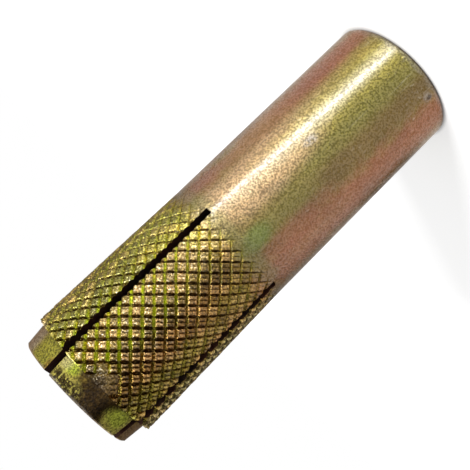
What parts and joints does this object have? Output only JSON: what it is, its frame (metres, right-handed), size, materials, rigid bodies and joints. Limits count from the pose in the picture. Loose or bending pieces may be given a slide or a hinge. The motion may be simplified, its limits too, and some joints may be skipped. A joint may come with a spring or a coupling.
{
  "type": "drop-in anchor",
  "caption": "Round plated steel sleeve with a threaded bore, a diamond-knurled end split into legs, and a conical expander plug inside.",
  "frame": {"origin": "middle of the mouth face, the threaded end, which the anchor stands on", "axes": "+Z along the bore from the mouth to the split tip; +X through the middle of the first saw cut"},
  "size_m": [0.0164, 0.0164, 0.05],
  "materials": {
    "yellow_zinc": "yellow chromate on zinc plating, satin, with pink and green bands",
    "bright_steel": "turned, unplated"
  },
  "bodies": {
    "sleeve": {"anchor_sleeve": "yellow_zinc"},
    "plug": {"expander_plug": "bright_steel"}
  },
  "joints": [
    {"name": "plug_slide", "type": "slide", "parent": "sleeve", "child": "plug", "axis": [0, 0, 1], "range_m": [0, 0.003]}
  ]
}
